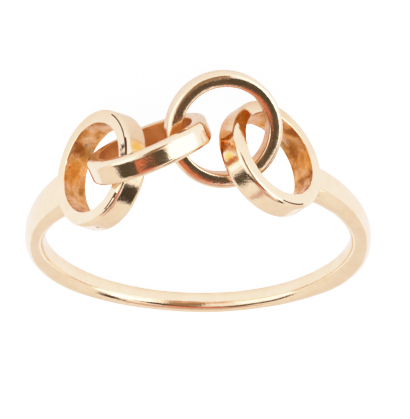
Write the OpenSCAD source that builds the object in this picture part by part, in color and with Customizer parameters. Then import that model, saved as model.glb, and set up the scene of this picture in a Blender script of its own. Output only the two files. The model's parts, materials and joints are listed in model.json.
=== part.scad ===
// Chain link finger ring. A half shank carries a soldered link at each end, and two loose links
// thread from one to the other across the front. Millimetres, +Z up, resting on Z = 0.
// The ring is drawn with its finger axis along Z and its links towards -Y, and is then laid down.

/* [Shank] */
// Inside diameter, across the finger. The links keep their size and follow the front of the hole
bore_d = 17.6; // [16:0.1:19]
// Wall at the back of the shank
back_wall = 0.82; // [0.7:0.02:1]
// Wall at the sides of the shank
side_wall = 1.08; // [1:0.02:1.3]
// Width at the back, along the finger
back_w = 1.1; // [1:0.05:1.5]
// Width at the left shoulder, along the finger
left_w = 2.75; // [2.4:0.05:2.8]
// Width at the right shoulder, along the finger
right_w = 1.95; // [1.6:0.05:2.4]
// How far the middle of the left shoulder's width lies below that of the back
left_drop = 0.18; // [0.02:0.02:0.2]
// How far the middle of the right shoulder's width lies below that of the back
right_drop = 0.36; // [0.2:0.02:0.4]
// Crown of the outer surface, as the radius of its arc
crown_r = 2.6; // [2.4:0.1:4]
// Crown of the surface that meets the finger, as the radius of its arc
comfort_r = 2.6; // [2.4:0.1:5]

/* [Soldered end links] */
// Outside diameter
end_od = 6.76; // [6.68:0.02:6.9]
// Wall, from the outside to the hole
end_wall = 0.82; // [0.7:0.02:0.88]
// Width of the band, from the finger outwards
end_w = 1.55; // [1.4:0.05:1.6]

/* [Loose links] */
// Outside diameter of the link that is seen edgewise
edgewise_od = 7.14; // [7:0.02:7.2]
// Outside diameter of the link in the centre
centre_od = 6.58; // [6.5:0.02:6.7]
// Wall, from the outside to the hole
loose_wall = 0.82; // [0.7:0.02:0.86]
// Width of the band
loose_w = 1.36; // [1.1:0.02:1.4]

/* [Edges of every link] */
// Radius of the rounding along the outer edges
edge_r = 0.28; // [0.16:0.02:0.34]
// Radius of the rounding along the edges of the hole
hole_edge_r = 0.1; // [0.06:0.02:0.2]

/* [Hidden] */

gold = [0.91, 0.76, 0.56];
pale_gold = [0.95, 0.83, 0.66];

bore_r = bore_d / 2;
// The outer circle is centred towards the links, so the wall grows from the back to the shoulders
offset_y = side_wall - back_wall;
outer_r = bore_r + side_wall;
back_y = outer_r - offset_y;
// Half widths of the left and right shoulders, above the middle of the back's width and below it
above = [left_w / 2 - left_drop, right_w / 2 - right_drop];
below = [left_w / 2 + left_drop, right_w / 2 + right_drop];
// Width of the full ring that the shank is cut from, and the steps that draw its crowned arcs
bar_w = 2 * max(below) + 0.2;
crown_steps = 6;
// Steps that draw a link's rounded edge
edge_steps = 3;
// Where the shoulders have their full width, and the front end of the cuts that taper the shank
shoulder_y = -0.8 * bore_r;
front_y = -bore_r - 1;
taper_steps = 14;
// Half width of the shank on its way to a shoulder. It grows with a power of the distance from the
// back: evenly above, and late below
growth = [1, 2.5];
function half_w(y, shoulder, power) =
    back_w / 2 + (shoulder - back_w / 2) * pow(min(1, (bore_r - y) / (bore_r - shoulder_y)), power);

// The columns that describe a link, and a stretch of the shank's back as if it were one: its
// outside diameter, wall and band width, then its centre, measured from the front of the finger
// hole, and the azimuth and tilt of its axis, in degrees
OD = 0;
WALL = 1;
WIDTH = 2;
CENTRE = 3;
AZIMUTH = 4;
TILT = 5;
left_end = [end_od, end_wall, end_w, [5.58, 0.46, -0.29], -36, 2.4];
edgewise = [edgewise_od, loose_wall, loose_w, [2.98, -1.7, -0.67], -54.7, -47];
centre = [centre_od, loose_wall, loose_w, [-1.14, -2.22, -1.73], -101.8, 35.2];
right_end = [end_od, end_wall, end_w, [-3.82, -0.45, -0.8], -132.4, -9.6];
back = [2 * outer_r, back_wall, back_w, [0, bore_r - offset_y, 0], 0, 90];

function middle(link) = link[CENTRE] - [0, bore_r, 0];
function axis(link) =
    [cos(link[TILT]) * cos(link[AZIMUTH]), cos(link[TILT]) * sin(link[AZIMUTH]), sin(link[TILT])];

// The shank's two ends, as angles about the finger axis, lie inside the end links' holes
function end_angle(link) = atan2(middle(link)[1], middle(link)[0]);
left_stop = end_angle(left_end) + 10;
right_stop = end_angle(right_end) + 350;

// How far an arc of radius r has fallen from its crown at height z, and its points over a height
function fall(r, z) = r - sqrt(r * r - z * z);
function crowned(crown, r, side, height) =
    [for (i = [0 : crown_steps]) let (z = height * (i / crown_steps - 0.5))
        [crown + side * fall(r, z), z]];

// A rounded corner about its own centre, and the outline of a link's band with four of them:
// distance from the link's axis, and height along it
function corner(from_axis, height, r, turn) =
    [for (i = [0 : edge_steps]) let (a = turn + 90 * i / edge_steps)
        [from_axis + r * cos(a), height + r * sin(a)]];
function section(link) =
    let (outer = link[OD] / 2 - edge_r, inner = link[OD] / 2 - link[WALL] + hole_edge_r,
         half = link[WIDTH] / 2)
    concat(corner(inner, hole_edge_r - half, hole_edge_r, 180),
           corner(outer, edge_r - half, edge_r, 270),
           corner(outer, half - edge_r, edge_r, 0),
           corner(inner, half - hole_edge_r, hole_edge_r, 90));

// The corner of a link that reaches furthest against the direction up. The shank's back has only
// its crowned outside
function lowest(points, up, i = 0) =
    i == len(points) - 1 ? points[i]
    : let (rest = lowest(points, up, i + 1)) points[i] * up < rest * up ? points[i] : rest;
function low_point(link, up) =
    let (n = axis(link), side = up - (up * n) * n, down = side / norm(side),
         outline = link == back ? crowned(outer_r, crown_r, -1, back_w) : section(link))
    lowest([for (p = outline) middle(link) + p[1] * n - p[0] * down], up);

// Up direction of the floor on which the ring lies: through the low points of both end links
// and of the shank's back, each found again for the last direction, from a first guess
function floor_up(up = [0, -0.2, 1], turns = 6) =
    turns == 0 ? up
    : let (foot = low_point(back, up),
           n = cross(low_point(right_end, up) - foot, low_point(left_end, up) - foot))
      floor_up(n / norm(n), turns - 1);

up = floor_up();
turn_x = atan2(up[1], up[2]);
turn_y = -atan2(up[0], norm([up[1], up[2]]));
floor_level = low_point(back, up) * up;
// The row's X and Y directions, seen from the upright ring, and what reaches furthest along them
row_x = [cos(turn_y), sin(turn_x) * sin(turn_y), cos(turn_x) * sin(turn_y)];
row_y = [0, cos(turn_x), -sin(turn_x)];
all_links = [left_end, edgewise, centre, right_end, back];
function reach(dir) = max([for (link = all_links) low_point(link, -dir) * dir]);
middle_x = (reach(row_x) - reach(-row_x)) / 2;
middle_y = (reach(row_y) - reach(-row_y)) / 2;

// Lays the ring down on the floor, with the middle of its box over the origin
module lay() {
    translate([-middle_x, -middle_y, -floor_level])
        rotate([turn_x, turn_y, 0])
            children();
}

module place(link) {
    translate(middle(link))
        rotate([0, 90 - link[TILT], link[AZIMUTH]])
            children();
}

module link_body(link) {
    place(link)
        rotate_extrude($fn = 120)
            polygon(section(link));
}

// Full ring with a crowned outside, on the outer circle
module crowned_ring() {
    inside = bore_r - side_wall / 2;
    translate([0, -offset_y, 0])
        rotate_extrude($fn = 240)
            polygon(concat([[inside, -bar_w / 2]], crowned(outer_r, crown_r, -1, bar_w),
                           [[inside, bar_w / 2]]));
}

// Spool that leaves the crowned surface for the finger, narrowest at the bore
module finger_spool() {
    height = bar_w + 0.2;
    rotate_extrude($fn = 240)
        polygon(concat([[0, -height / 2]], crowned(bore_r, comfort_r, 1, height),
                       [[0, height / 2]]));
}

// Cuts the upper and lower faces back, so that the shank widens from its back to each shoulder
module side_tapers() {
    y_step = (bore_r - front_y) / taper_steps;
    beyond = back_y + back_wall;
    for (right = [0, 1], under = [0, 1]) {
        shoulder = under == 0 ? above[right] : below[right];
        outline = [for (i = [0 : taper_steps]) let (y = front_y + i * y_step)
                       [y, half_w(y, shoulder, growth[under])]];
        mirror([right, 0, 0])
            mirror([0, 0, under])
                rotate([90, 0, 90])
                    linear_extrude(height = 2 * outer_r)
                        polygon(concat(outline, [[beyond, back_w / 2], [beyond, bar_w],
                                                 [front_y, bar_w]]));
    }
}

// Wedge beyond the shank's two ends, where the links are
module front_gap() {
    far = 3 * outer_r;
    linear_extrude(height = 2 * bar_w, center = true)
        polygon([[0, 0], far * [cos(left_stop), sin(left_stop)], [0, -far],
                 far * [cos(right_stop), sin(right_stop)]]);
}

module shank() {
    difference() {
        crowned_ring();
        finger_spool();
        side_tapers();
        front_gap();
        for (link = [left_end, right_end])
            place(link)
                cylinder(h = 3 * end_w, d = link[OD] - link[WALL], center = true, $fn = 120);
    }
}

module ring_band() {
    color(gold)
        lay() {
            shank();
            link_body(left_end);
            link_body(right_end);
        }
}

module edgewise_link() {
    color(pale_gold)
        lay() link_body(edgewise);
}

module centre_link() {
    color(pale_gold)
        lay() link_body(centre);
}

ring_band();
edgewise_link();
centre_link();
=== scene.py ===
"""Chain link finger ring in worn yellow gold, lying on its side on a pale surface.

A half shank carries a soldered round link at each end, and two loose round links thread from one
to the other across the front. The pieces are modelled in millimetres about the finger's axis, with
the links towards -Y, and are then laid down in metres where the frame holds the ring.
"""
import json
from math import asin, atan2, cos, degrees, exp, hypot, pi, radians, sin, sqrt, tan

import bmesh
import bpy
from mathutils import Matrix


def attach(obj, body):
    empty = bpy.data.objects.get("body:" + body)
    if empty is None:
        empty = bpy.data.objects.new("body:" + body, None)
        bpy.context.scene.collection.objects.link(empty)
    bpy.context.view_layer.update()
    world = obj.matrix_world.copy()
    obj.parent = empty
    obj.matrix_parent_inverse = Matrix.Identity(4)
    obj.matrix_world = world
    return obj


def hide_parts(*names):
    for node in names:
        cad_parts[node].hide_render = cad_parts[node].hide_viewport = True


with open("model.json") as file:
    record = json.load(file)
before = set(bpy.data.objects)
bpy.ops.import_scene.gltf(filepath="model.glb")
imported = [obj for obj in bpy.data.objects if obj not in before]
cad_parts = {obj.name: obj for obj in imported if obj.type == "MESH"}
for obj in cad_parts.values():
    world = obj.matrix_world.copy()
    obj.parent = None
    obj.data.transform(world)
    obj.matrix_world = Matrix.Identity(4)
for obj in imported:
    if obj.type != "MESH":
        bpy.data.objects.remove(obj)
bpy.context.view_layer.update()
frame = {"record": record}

MM = 0.001

# The shank's sizes in millimetres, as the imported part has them
BORE = 17.6
BACK_WALL = 0.82
SIDE_WALL = 1.08
BACK_WIDTH = 1.1
BORE_R = BORE / 2
OUTER_R = BORE_R + SIDE_WALL
OFFSET_Y = SIDE_WALL - BACK_WALL
# Where the shoulders have their full width
SHOULDER_Y = -0.8 * BORE_R
# Half widths of the left and right shoulders, above the middle of the back's width and below it, and
# the power of the distance from the back with which each side grows
ABOVE, ABOVE_GROWTH = (1.195, 0.615), 1
BELOW, BELOW_GROWTH = (1.555, 1.335), 2.5
# The shank's two ends, as angles about the finger's axis, lie inside the end links' holes
LEFT_STOP, RIGHT_STOP = radians(-46.2), radians(237.6)

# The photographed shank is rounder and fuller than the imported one. Its section is made larger all
# along. Near the angles where it is fullest, at the left and at the right, it swells by a further share
# and bulges outwards by a length
ROUND_ALLOWANCE = 1.06
FULLEST = (35, 152)
FULL_REACH = 24
SWELL = (0.1, 0.22)
BULGE = (0.07, 0.17)
# Rounding of the bar's edges as a share of its wall and width, and the cuts along it
SHANK_ROUNDING = 0.42
SHANK_STEPS = 200

# Outside diameter, wall, band width, centre, azimuth and tilt of the axis in degrees
LEFT_END = (6.76, 0.82, 1.55, (5.58, -8.34, -0.29), -36, 2.4)
EDGEWISE = (7.14, 0.82, 1.36, (2.98, -10.5, -0.67), -54.7, -47)
CENTRE = (6.58, 0.82, 1.36, (-1.14, -11.02, -1.73), -101.8, 35.2)
RIGHT_END = (6.76, 0.82, 1.55, (-3.82, -9.25, -0.8), -132.4, -9.6)
OUTER_ROUNDING = 0.28
HOLE_ROUNDING = 0.1
FACE_CROWN = 0.012
# Steps round a link, and rows across an end link's band and across a loose link's
LINK_STEPS = 180
END_ROWS, LOOSE_ROWS = 12, 8
# What lies within this distance of a hole's wall belongs to it
HOLE_MARGIN = 0.02
# The plug that cuts the shank flush inside an end link is longer than the link is wide
PLUG_LENGTH = 4
# Faces that meet at less than this angle are shaded as one
SMOOTH_ANGLE = radians(40)
# Which of a piece's finishes the walls of holes have, a finish partly painted with shade, and which the
# painted shade in the creases has
HOLE_FINISH, CREASE_SHADE = 1, 2

# Unevenness of the surfaces: the size of its lumps and its depth
CAST_LUMP, CAST_DEPTH = 0.5, 0.1
HAND_LUMP, HAND_DEPTH = 2.2, 0.04

# The edgewise link's dents: an angle about its axis in degrees, how far it is pushed out, the reach
# and how the push falls off
EDGEWISE_DENTS = [(272, 0.2, 2.2, "SHARP"), (225, -0.1, 2.4, "SMOOTH")]

# Lines of painted shade in the creases along the end links' outer edges: where each starts in degrees
# and its width there, and where it ends and its width there
LEFT_CREASES = [(256, 0.15, 322, 0.07), (202, 0.06, 224, 0.14)]
RIGHT_CREASES = [(176, 0.06, 206, 0.08)]

# The photograph's view: where the ring's middle is, and how the camera is turned about it
PHOTO = (410, 419)
RING_PIXEL = (197.7, 238.32)
PIXELS_PER_MM = 17.4
CAMERA_DISTANCE = 300
SENSOR_WIDTH = 36
VIEW_ELEVATION, VIEW_TURN, VIEW_ROLL = radians(65.69), radians(2.435), radians(3.416)

# Side of the floor, in metres
FLOOR_SIZE = 1.2


def laid_down():
    """Where the ring lies in the frame, from the finger hole's place and axis, in metres."""
    hole = next(m for m in frame["record"]["mounts"] if m["name"] == "finger_hole")
    x, y, z = hole["axis"]
    turn = Matrix.Rotation(atan2(x, z), 4, "Y") @ Matrix.Rotation(-asin(y), 4, "X")
    return Matrix.Translation(hole["pos_m"]) @ turn @ Matrix.Scale(MM, 4)


LAID_DOWN = laid_down()


def photo_camera():
    """The camera, at the photograph's angle to the ring."""
    ce, se = cos(VIEW_ELEVATION), sin(VIEW_ELEVATION)
    tilt = Matrix(((1, 0, 0), (0, se, ce), (0, -ce, se)))
    to_view = Matrix.Rotation(-VIEW_ROLL, 3, "Z") @ tilt @ Matrix.Rotation(VIEW_TURN, 3, "Z")
    flip = Matrix(((-1, 0, 0), (0, 0, -1), (0, -1, 0)))
    right, up, back = (LAID_DOWN.to_3x3() @ flip @ axis / MM for axis in to_view)
    ring = LAID_DOWN.translation
    place = ring + back * CAMERA_DISTANCE * MM
    middle = (PHOTO[0] / 2 - RING_PIXEL[0], RING_PIXEL[1] - PHOTO[1] / 2)
    aim = ring + (right * middle[0] + up * middle[1]) / PIXELS_PER_MM * MM
    back = (place - aim).normalized()
    right = up.cross(back).normalized()
    up = back.cross(right)
    data = bpy.data.cameras.new("photo_camera")
    data.sensor_width = SENSOR_WIDTH
    data.lens = SENSOR_WIDTH * PIXELS_PER_MM * CAMERA_DISTANCE / max(PHOTO)
    data.clip_start, data.clip_end = 0.01, 5
    camera = bpy.data.objects.new("photo_camera", data)
    camera.matrix_world = Matrix.Translation(place) @ Matrix((right, up, back)).transposed().to_4x4()
    bpy.context.scene.collection.objects.link(camera)
    bpy.context.scene.camera = camera


photo_camera()


def take(piece):
    """Only this piece is selected and active."""
    bpy.ops.object.select_all(action="DESELECT")
    piece.select_set(True)
    bpy.context.view_layer.objects.active = piece


def edit(piece):
    """Opens this piece's mesh, and no other, for editing."""
    take(piece)
    bpy.ops.object.mode_set(mode="EDIT")


def close():
    bpy.ops.object.mode_set(mode="OBJECT")


def pick(piece, kind, test):
    """In edit mode, selects only the vertices, edges or faces that pass the test."""
    bpy.ops.mesh.select_mode(type=kind)
    bpy.ops.mesh.select_all(action="DESELECT")
    shape = bmesh.from_edit_mesh(piece.data)
    for element in {"VERT": shape.verts, "EDGE": shape.edges, "FACE": shape.faces}[kind]:
        element.select_set(test(element))
    shape.select_flush_mode()
    bmesh.update_edit_mesh(piece.data)


def modify(piece, kind, **settings):
    """Adds a modifier with its settings and applies it."""
    take(piece)
    bpy.ops.object.modifier_add(type=kind)
    modifier = piece.modifiers[-1]
    for name, value in settings.items():
        setattr(modifier, name, value)
    bpy.ops.object.modifier_apply(modifier=modifier.name)


def lay(piece, place):
    """Moves a shape to its place, and takes the move into its mesh."""
    take(piece)
    piece.matrix_world = place
    bpy.ops.object.transform_apply(location=True, rotation=True, scale=True)


def link_place(sizes):
    centre, azimuth, tilt = sizes[3:]
    turn = Matrix.Rotation(radians(azimuth), 4, "Z") @ Matrix.Rotation(radians(90 - tilt), 4, "Y")
    return Matrix.Translation(centre) @ turn


def from_axis(point):
    return hypot(point.x, point.y)


def hole_radius(sizes):
    return sizes[0] / 2 - sizes[1]


def along(edge):
    """How much of an edge runs along Z, from 0 to 1."""
    a, b = (v.co for v in edge.verts)
    return abs(a.z - b.z) / (a - b).length


def link(name, sizes, rows):
    """A round link bent from flat strip: a tube with rounded edges, cut into rows along its width.
    Its two faces rise a little between their edges."""
    outside, wall, width = sizes[:3]
    middle = (outside - wall) / 2
    bpy.ops.mesh.primitive_cylinder_add(vertices=LINK_STEPS, radius=outside / 2, depth=width)
    piece = bpy.context.object
    piece.name = name
    edit(piece)
    pick(piece, "FACE", lambda face: abs(face.normal.z) > 0.9)
    bpy.ops.mesh.inset(thickness=wall)
    bpy.ops.mesh.bridge_edge_loops()
    for rounding, segments, nearest in ((OUTER_ROUNDING, 6, middle), (HOLE_ROUNDING, 4, 0)):
        pick(piece, "EDGE",
             lambda edge: edge.calc_face_angle(0) > 1 and from_axis(edge.verts[0].co) > nearest)
        bpy.ops.mesh.bevel(offset=rounding, segments=segments, profile=0.5, affect="EDGES")
    pick(piece, "EDGE", lambda edge: along(edge) > 0.9 and edge.calc_length() > OUTER_ROUNDING)
    bpy.ops.mesh.subdivide_edgering(number_cuts=rows, interpolation="LINEAR", smoothness=0)
    flat = wall - OUTER_ROUNDING - HOLE_ROUNDING
    pick(piece, "EDGE", lambda edge: along(edge) < 0.1 and abs(edge.calc_length() - flat) < 0.01)
    bpy.ops.mesh.subdivide_edgering(number_cuts=3, interpolation="LINEAR", smoothness=0)
    for step, rise in ((1, 0.75), (2, 1), (3, 0.75)):
        radius = outside / 2 - OUTER_ROUNDING - flat * step / 4
        pick(piece, "VERT",
             lambda vert: abs(vert.co.z) > 0.49 * width and abs(from_axis(vert.co) - radius) < 0.01)
        bpy.ops.transform.resize(value=(1, 1, 1 + 2 * FACE_CROWN * rise / width))
    bpy.ops.mesh.select_all(action="SELECT")
    bpy.ops.mesh.normals_make_consistent(inside=False)
    close()
    return piece


def crease(piece, sizes, start, first, end, last):
    """Paints shade on a thin line along a rim's outer edge, on the side of positive Z,
    from one angle in degrees to another. The line's width changes from first to last."""
    outside, wall, width = sizes[:3]
    edge_inset = 0.05
    rim_depth = 0.15
    for face in piece.data.polygons:
        x, y, z = face.center
        angle = degrees(atan2(y, x)) % 360
        depth = hypot(x, y) - outside / 2 + OUTER_ROUNDING
        reach = edge_inset + first + (last - first) * (angle - start) / (end - start)
        if edge_inset < depth < reach and start < angle < end and z > width / 2 - rim_depth:
            face.material_index = CREASE_SHADE


def wall_at(angle):
    """The shank's wall at an angle about the finger: its outer circle is centred towards the links."""
    lift = OFFSET_Y * sin(angle)
    return sqrt(OUTER_R ** 2 - (OFFSET_Y * cos(angle)) ** 2) - lift - BORE_R


def half_width(angle, shoulders, growth):
    """Half the shank's width, on one side of its middle, which grows from its back to each shoulder."""
    y = (BORE_R + wall_at(angle) / 2) * sin(angle)
    grown = max(0, min(1, (BORE_R - y) / (BORE_R - SHOULDER_Y))) ** growth
    return BACK_WIDTH / 2 + (shoulders[cos(angle) < 0] - BACK_WIDTH / 2) * grown


def fullness(angle):
    """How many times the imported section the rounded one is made, and how far it bulges outwards."""
    near = [exp(-((degrees(angle) - middle) / FULL_REACH) ** 2) for middle in FULLEST]
    full = ROUND_ALLOWANCE + SWELL[0] * near[0] + SWELL[1] * near[1]
    return full, BULGE[0] * near[0] + BULGE[1] * near[1]


def shank(name):
    """A straight bar with rounded edges, forged thin and narrow at its middle and bent round."""
    left, right = (BORE_R * (stop - pi / 2) for stop in (LEFT_STOP, RIGHT_STOP))
    length = right - left
    bpy.ops.mesh.primitive_cube_add(size=1, location=((left + right) / 2, -0.5, 0), scale=(length, 1, 1))
    piece = bpy.context.object
    piece.name = name
    bpy.ops.object.transform_apply(location=True, rotation=False, scale=True)
    edit(piece)
    pick(piece, "EDGE", lambda edge: edge.calc_length() > 2)
    bpy.ops.mesh.bevel(offset=SHANK_ROUNDING, segments=7, profile=0.5, affect="EDGES")
    pick(piece, "EDGE", lambda edge: edge.calc_length() > 2)
    bpy.ops.mesh.subdivide_edgering(number_cuts=SHANK_STEPS, interpolation="LINEAR", smoothness=0)
    for step in range(SHANK_STEPS + 2):
        x = left + length * step / (SHANK_STEPS + 1)
        angle = pi / 2 + x / BORE_R
        above = half_width(angle, ABOVE, ABOVE_GROWTH)
        below = half_width(angle, BELOW, BELOW_GROWTH)
        wall = wall_at(angle)
        full, bulge = fullness(angle)
        pick(piece, "VERT", lambda vert: abs(vert.co.x - x) < 0.01)
        bpy.ops.transform.resize(value=(1, full * wall + bulge, full * (above + below)),
                                 center_override=(x, -0.5, 0))
        bpy.ops.transform.translate(value=(0, (1 - wall - bulge) / 2, (above - below) / 2))
    close()
    modify(piece, "SIMPLE_DEFORM", deform_method="BEND", deform_axis="Z", angle=length / BORE_R)
    lay(piece, Matrix.Rotation(pi, 4, "Z") @ Matrix.Translation((0, -BORE_R, 0)))
    return piece


def texture(name, size):
    """Cloudy unevenness whose lumps are about this many millimetres across."""
    clouds = bpy.data.textures.new(name, "CLOUDS")
    clouds.noise_scale = size
    clouds.noise_depth = 2
    return clouds


def finish_holes(piece, radius):
    """Gives the hole's finish, with its painted shade, to the faces within a radius about a link's axis."""
    for face in piece.data.polygons:
        if from_axis(face.center) < radius:
            face.material_index = HOLE_FINISH


def cast_inside(piece, sizes):
    """Leaves the inside of a soldered link rough, as it was cast, and gives it the hole's finish with its
    painted shade.
    """
    wall = hole_radius(sizes) + HOLE_MARGIN
    inside = piece.vertex_groups.new(name="inside")
    inside.add([v.index for v in piece.data.vertices if from_axis(v.co) < wall], 1, "REPLACE")
    modify(piece, "DISPLACE", texture=cast_lumps, strength=CAST_DEPTH, mid_level=0.5, vertex_group="inside")
    finish_holes(piece, wall + 0.5 * HOLE_MARGIN)


def combine(piece, other, operation):
    modify(piece, "BOOLEAN", operation=operation, object=other, solver="EXACT")
    bpy.data.objects.remove(other)


def finish(piece, slot, *nodes):
    """Gives a shape the slight unevenness of hand work, smooths it, lays it down in the frame and
    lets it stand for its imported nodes."""
    modify(piece, "DISPLACE", texture=hand_work, strength=HAND_DEPTH, mid_level=0.5)
    take(piece)
    bpy.ops.object.shade_smooth_by_angle(angle=SMOOTH_ANGLE)
    lay(piece, LAID_DOWN)
    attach(piece, "root")
    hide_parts(*nodes)


def soldered_band():
    """The half shank with a link soldered to each end, trimmed flush inside the links' holes."""
    band = shank("soldered_band")
    finishes = (polished_gold, cast_and_shaded_gold, crease_shade_gold)
    for made in finishes:
        band.data.materials.append(made)
    ends = []
    for name, sizes, creases in (("left_end", LEFT_END, LEFT_CREASES),
                                 ("right_end", RIGHT_END, RIGHT_CREASES)):
        bpy.ops.mesh.primitive_cylinder_add(vertices=LINK_STEPS, radius=(sizes[0] - sizes[1]) / 2,
                                            depth=PLUG_LENGTH)
        plug = bpy.context.object
        lay(plug, link_place(sizes))
        combine(band, plug, "DIFFERENCE")
        end = link(name, sizes, END_ROWS)
        for made in finishes:
            end.data.materials.append(made)
        cast_inside(end, sizes)
        for line in creases:
            crease(end, sizes, *line)
        lay(end, link_place(sizes))
        ends.append(end)
    for end in ends:
        combine(band, end, "UNION")
    finish(band, "band_gold", "ring_band")


def bend(piece, angle, push, reach, falloff):
    """Pushes a link in or out at an angle about its axis, and what lies within reach with it."""
    edit(piece)
    turned = Matrix.Rotation(-angle, 3, "Z")
    pick(piece, "VERT", lambda vert: abs(atan2(*(turned @ vert.co).yx)) < pi / LINK_STEPS)
    bpy.ops.transform.translate(value=(push * cos(angle), push * sin(angle), 0), use_proportional_edit=True,
                                proportional_edit_falloff=falloff, proportional_size=reach)
    close()


def loose_link(name, node, sizes, bends, inside):
    """A link that hangs free. inside is the finish of the wall of its hole, painted with its shade."""
    piece = link(name, sizes, LOOSE_ROWS)
    piece.data.materials.append(polished_gold)
    piece.data.materials.append(inside)
    finish_holes(piece, hole_radius(sizes) + HOLE_MARGIN)
    for angle, push, reach, falloff in bends:
        bend(piece, radians(angle), push, reach, falloff)
    lay(piece, link_place(sizes))
    finish(piece, "link_gold", node)


def linear(colour):
    """An sRGB hex colour as linear values."""
    values = [int(colour[i:i + 2], 16) / 255 for i in (1, 3, 5)]
    return [v / 12.92 if v <= 0.04045 else ((v + 0.055) / 1.055) ** 2.4 for v in values] + [1]


def add(tree, kind, links=(), **settings):
    """Adds a node to a tree. Settings that name an input set it, and others are the node's own."""
    node = tree.nodes.new(kind)
    for name, value in settings.items():
        if name.startswith("in_"):
            slot = name[3:]
            node.inputs[int(slot) if slot.isdigit() else slot.replace("_", " ")].default_value = value
        else:
            setattr(node, name, value)
    for source, target in links:
        tree.links.new(source, node.inputs[target])
    return node


def new_tree(owner):
    """The empty node tree of a material or world."""
    owner.use_nodes = True
    owner.node_tree.nodes.clear()
    return owner.node_tree


def painted_spot(tree, place, below, middle, radius, colour):
    """Paints a ragged spot on the metal, round a point of the laid ring in millimetres. Its uses
    paint the shade of pits and a nick, and reflections.
    """
    ragged_grain = 0.22
    raggedness = 0.35 * radius * MM
    noise = add(tree, "ShaderNodeTexNoise", [(place, "Vector")], in_Scale=1 / (ragged_grain * MM),
                in_Detail=3)
    away = add(tree, "ShaderNodeVectorMath", [(place, 0)], operation="DISTANCE")
    away.inputs[1].default_value = [value * MM for value in middle]
    ragged = add(tree, "ShaderNodeMapRange", [(noise.outputs["Fac"], "Value")], in_From_Min=0.3,
                 in_From_Max=0.7, in_To_Min=-raggedness, in_To_Max=raggedness)
    total = add(tree, "ShaderNodeMath", [(away.outputs["Value"], 0), (ragged.outputs[0], 1)],
                operation="ADD")
    inside = add(tree, "ShaderNodeMapRange", [(total.outputs[0], "Value")], in_From_Min=0.2 * radius * MM,
                 in_From_Max=radius * MM, in_To_Min=1, in_To_Max=0)
    mixed = add(tree, "ShaderNodeMix", [(inside.outputs[0], 0), (below, 6)], data_type="RGBA",
                in_7=linear(colour))
    return mixed.outputs[2]


def metal(name, colours, roughness, bumps, cloud=0.9, painted_spots=()):
    """A gold surface whose colour drifts between a few, darkest first, in clouds of this many
    millimetres. bumps lists each pattern's size in millimetres, its depth and its stretch. The list
    of spots gives each spot of painted shade and painted reflection: its middle on the laid ring, its
    radius and its colour."""
    made = bpy.data.materials.new(name)
    tree = new_tree(made)
    place = add(tree, "ShaderNodeTexCoord").outputs["Object"]
    last = None
    for size, depth, stretch in bumps:
        vector = add(tree, "ShaderNodeMapping", [(place, "Vector")], in_Scale=stretch).outputs[0]
        noise = add(tree, "ShaderNodeTexNoise", [(vector, "Vector")], in_Scale=1 / (size * MM), in_Detail=4)
        links = [(noise.outputs["Fac"], "Height")] + ([(last, "Normal")] if last else [])
        last = add(tree, "ShaderNodeBump", links, in_Strength=1, in_Distance=depth * MM).outputs[0]
    clouds = add(tree, "ShaderNodeTexNoise", [(place, "Vector")], in_Scale=1 / (cloud * MM), in_Detail=5)
    tint = add(tree, "ShaderNodeValToRGB", [(clouds.outputs["Fac"], "Fac")])
    ramp = tint.color_ramp.elements
    darkest, lightest = 0.35, 0.62
    for _ in colours[2:]:
        ramp.new(0.5)
    for step, colour in enumerate(colours):
        ramp[step].position = darkest + (lightest - darkest) * step / (len(colours) - 1)
        ramp[step].color = linear(colour)
    wear = add(tree, "ShaderNodeMapRange", [(clouds.outputs["Fac"], "Value")], in_From_Min=0.3,
               in_From_Max=0.7, in_To_Min=roughness[1], in_To_Max=roughness[0])
    base = tint.outputs[0]
    for middle, radius, colour in painted_spots:
        base = painted_spot(tree, place, base, middle, radius, colour)
    shader = add(tree, "ShaderNodeBsdfPrincipled", [(base, "Base Color"), (wear.outputs[0], "Roughness"),
                 (last, "Normal")], in_Metallic=1)
    add(tree, "ShaderNodeOutputMaterial", [(shader.outputs[0], "Surface")])
    return made


cast_lumps = texture("cast_lumps", CAST_LUMP)
hand_work = texture("hand_work", HAND_LUMP)

EVEN = (1, 1, 1)
# A pattern drawn out upwards to two and a half times its size
DRAWN_UP = (1, 1, 0.4)

# Painted shade and painted reflections on the polished faces: the shade of two pits by the left end
# link's long crease and of a nick at that link's lower end, a yellow reflection by that crease, and warm
# reflections and a yellow one on the right end link and on the near end of the edgewise link
# Dark colours for the painted shade of pits and a nick, yellow and warm ones for painted reflections
PIT_SHADE, NICK_SHADE, YELLOW_REFLECTION = "#2A1E14", "#5A5048", "#FFCC66"
WARM_REFLECTION, PALE_WARM_REFLECTION, DEEP_WARM_REFLECTION = "#F6BE7C", "#F2C08A", "#D8924C"
PAINTED_SHADE_AND_REFLECTIONS = [
    ((4.51, -8.9, 3.91), 0.28, PIT_SHADE),
    ((4.5, -8.75, 4.3), 0.3, PIT_SHADE),
    ((3.67, -8.79, 3.76), 0.42, YELLOW_REFLECTION),
    ((5.89, -5.08, 6.64), 0.16, NICK_SHADE),
    ((-1.1, -9.08, 3.5), 0.75, WARM_REFLECTION),
    ((-1.4, -9.03, 4.6), 0.4, YELLOW_REFLECTION),
    ((-0.26, -9.95, 4.0), 0.75, DEEP_WARM_REFLECTION),
    ((-1.25, -9.0, 2.3), 0.9, PALE_WARM_REFLECTION),
]
# Painted reflections inside the end links: orange and russet in the left one, honey in the right one
ORANGE, RUSSET, BURNT_ORANGE, HONEY = "#E8A44C", "#B0662C", "#C27A30", "#EEB05C"
CAST_PAINTED_REFLECTIONS = [
    ((7.2, -4.3, 2.3), 1.0, ORANGE),
    ((6.9, -5.1, 1.3), 0.55, RUSSET),
    ((7.2, -4.3, 2.1), 0.55, BURNT_ORANGE),
    ((-5.9, -5.8, 2.7), 0.9, HONEY),
]

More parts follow.
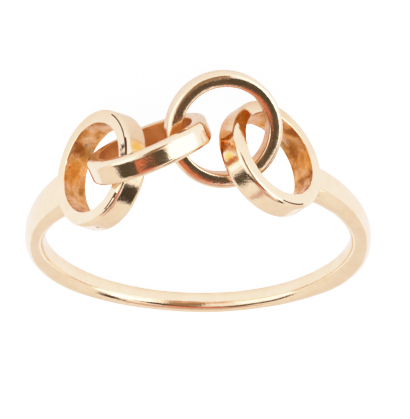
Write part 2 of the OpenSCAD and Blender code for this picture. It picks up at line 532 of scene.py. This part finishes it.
# Polished yellow gold, pale and nearly a mirror. Waves left by the polishing bend its reflections, and
# a fine grain of wear, drawn coarser than it is, breaks up their edges
polished_gold = metal("polished_gold", ("#F3DAB8", "#F6E0C0"), (0.06, 0.14),
                      [(0.5, 0.006, EVEN), (0.13, 0.005, EVEN), (0.06, 0.002, EVEN)], painted_spots=PAINTED_SHADE_AND_REFLECTIONS)
# Gold as it was cast, inside the end links: dull and grainy, and mottled from brown to pale tan.
# Its colour is painted darker and more orange than the gold for the shade and the gold's own
# reflections inside the holes
cast_and_shaded_gold = metal("cast_and_shaded_gold", ("#B4723A", "#D6994F", "#E6B276", "#E8C096"), (0.22, 0.38),
                  [(0.35, 0.05, EVEN), (0.1, 0.025, DRAWN_UP)], cloud=0.7, painted_spots=CAST_PAINTED_REFLECTIONS)
# Satin gold inside the centre link, painted darker and warmer than the polished faces for the shade
# and the gold's own reflections inside the hole
warm_gold = metal("warm_gold", ("#C4823A", "#E2A85C"), (0.2, 0.3), [(0.2, 0.01, EVEN)])
# Gold worn matt by its neighbours, inside the edgewise link, with no highlights. It is painted an even
# orange brown for the shade and the gold's own reflections inside the hole
worn_and_shaded_gold = metal("worn_and_shaded_gold", ("#D8934C", "#E4AA6C"), (0.38, 0.5), [(0.2, 0.01, EVEN)])
# Painted shade in the creases: dark brown and rough
crease_shade_gold = metal("crease_shade_gold", ("#3B2614", "#6E4A26"), (0.3, 0.45), [(0.1, 0.02, EVEN)])

soldered_band()
loose_link("edgewise_band", "edgewise_link", EDGEWISE, EDGEWISE_DENTS, worn_and_shaded_gold)
loose_link("centre_band", "centre_link", CENTRE, [], warm_gold)


def pale_floor():
    """A card that the ring lies on. Matt white paint takes its soft shadow, and a glow lifts it to
    the photograph's white for the camera, and by less for the metal."""
    paper = bpy.data.materials.new("pale_card")
    tree = new_tree(paper)
    camera_ray = add(tree, "ShaderNodeLightPath").outputs["Is Camera Ray"]
    paint = add(tree, "ShaderNodeBsdfDiffuse", in_Color=linear("#E9EEFB"))
    glow = add(tree, "ShaderNodeMapRange", [(camera_ray, "Value")], in_To_Min=0.3, in_To_Max=1)
    lift = add(tree, "ShaderNodeEmission", [(glow.outputs[0], "Strength")], in_Color=(1, 1, 1, 1))
    both = add(tree, "ShaderNodeAddShader", [(paint.outputs[0], 0), (lift.outputs[0], 1)])
    add(tree, "ShaderNodeOutputMaterial", [(both.outputs[0], "Surface")])
    bpy.ops.mesh.primitive_plane_add(size=FLOOR_SIZE)
    floor = bpy.context.object
    floor.name = "pale_floor"
    floor.data.materials.append(paper)


pale_floor()


def view_axes():
    """The photograph's right, up and towards the viewer, in the frame."""
    turn = bpy.context.scene.camera.matrix_world.to_3x3()
    return turn.col[0], turn.col[1], turn.col[2]


def card(name, distance, start, end, height, light, blotches=0.6):
    """A flat card in the studio that only the metal sees. It reaches from one direction to another,
    as they are seen from the ring: parts to the right and up in the photograph's view. light is its
    brightness in red, green and blue, and blotches is how far that varies over it."""
    blotches_across = 9
    across, upwards, back = view_axes()
    ends = [across * x + upwards * y + back * sqrt(1 - x ** 2 - y ** 2) for x, y in (start, end)]
    towards = (ends[0] + ends[1]).normalized()
    made = bpy.data.materials.new(name)
    tree = new_tree(made)
    spread = add(tree, "ShaderNodeTexCoord").outputs["Object"]
    noise = add(tree, "ShaderNodeTexNoise", [(spread, "Vector")], in_Scale=blotches_across,
                in_Detail=4)
    varied = add(tree, "ShaderNodeMapRange", [(noise.outputs["Fac"], "Value")], in_From_Min=0.35,
                 in_From_Max=0.65, in_To_Min=1 - blotches, in_To_Max=1 + blotches)
    glow = add(tree, "ShaderNodeEmission", [(varied.outputs[0], "Strength")], in_Color=(*light, 1))
    add(tree, "ShaderNodeOutputMaterial", [(glow.outputs[0], "Surface")])
    bpy.ops.mesh.primitive_plane_add(size=1)
    piece = bpy.context.object
    piece.name = name
    piece.data.materials.append(made)
    side = (ends[1] - ends[0]).normalized()
    turn = Matrix((side, towards.cross(side), towards)).transposed().to_4x4()
    width = 2 * distance * tan(ends[0].angle(ends[1]) / 2)
    size = Matrix.Diagonal((width, height, 1, 1))
    piece.matrix_world = Matrix.Translation(LAID_DOWN.translation + towards * distance) @ turn @ size
    piece.visible_camera = piece.visible_diffuse = piece.visible_shadow = False


# Flags give the dark stripes on the metal, coloured cards its coral, tan and rosy ones, and softboxes
# its highlights. Distances and heights are in metres
card("dark_flag", 0.5, (-0.70, -0.56), (0.66, -0.12), 0.2, (0.10, 0.075, 0.05))
card("coral_card", 0.48, (-0.27, -0.58), (0.30, -0.47), 0.15, (0.73, 0.22, 0.12))
card("tan_card", 0.52, (-0.12, 0.25), (0.38, 0.25), 0.58, (0.36, 0.23, 0.14), 0.25)
card("honey_card", 0.52, (-0.24, 0.7), (0.38, 0.7), 0.09, (0.64, 0.54, 0.43), 0.15)
card("rosy_card", 0.51, (-0.40, -0.80), (0.45, -0.80), 0.4, (0.70, 0.50, 0.45))
card("right_flag", 0.5, (0.52, -0.82), (0.82, -0.42), 0.14, (0.06, 0.045, 0.03))
card("left_flag", 0.5, (-0.56, -0.68), (-0.86, -0.40), 0.1, (0.10, 0.075, 0.05))
card("right_softbox", 0.53, (0.52, 0.16), (0.96, 0.24), 0.46, (2.3, 2.3, 2.3), 0)
card("low_softbox", 0.53, (0.73, -0.08), (0.80, -0.36), 0.13, (2, 2, 2), 0)
card("left_softbox", 0.53, (-0.50, 0.1), (-0.96, 0.1), 0.4, (1.7, 1.7, 1.7), 0)


def studio():
    """Soft light from all round, slightly rosy and a little stronger from behind the viewer. The
    camera sees it as plain white."""
    world = bpy.data.worlds.new("studio")
    bpy.context.scene.world = world
    tree = new_tree(world)
    ray = add(tree, "ShaderNodeTexCoord").outputs["Generated"]
    dot = add(tree, "ShaderNodeVectorMath", [(ray, 0)], operation="DOT_PRODUCT")
    dot.inputs[1].default_value = view_axes()[2]
    dim = add(tree, "ShaderNodeMapRange", [(dot.outputs["Value"], "Value")], in_From_Min=-0.5,
              in_From_Max=0.6, in_To_Min=0.96, in_To_Max=1.16)
    camera_ray = add(tree, "ShaderNodeLightPath").outputs["Is Camera Ray"]
    seen = add(tree, "ShaderNodeMix", [(camera_ray, "Factor"), (dim.outputs[0], "A")], in_B=3.0)
    background = add(tree, "ShaderNodeBackground", [(seen.outputs[0], "Strength")],
                     in_Color=(0.96, 0.88, 0.89, 1))
    add(tree, "ShaderNodeOutputWorld", [(background.outputs[0], "Surface")])


def photo_tones():
    """Plain tones, with a soft shoulder below white that keeps some colour in the highlights."""
    settings = bpy.context.scene.view_settings
    settings.view_transform = "Standard"
    settings.use_curve_mapping = True
    mapping = settings.curve_mapping
    mapping.clip_max_x = 3
    shoulder = mapping.curves[3]
    shoulder.points[0].location = (0, 0)
    shoulder.points[1].location = (1.8, 1)
    for x, y in ((0.4, 0.4), (0.8, 0.8), (0.96, 0.89), (1.13, 0.94), (1.41, 0.98)):
        shoulder.points.new(x, y)
    mapping.update()


studio()
photo_tones()
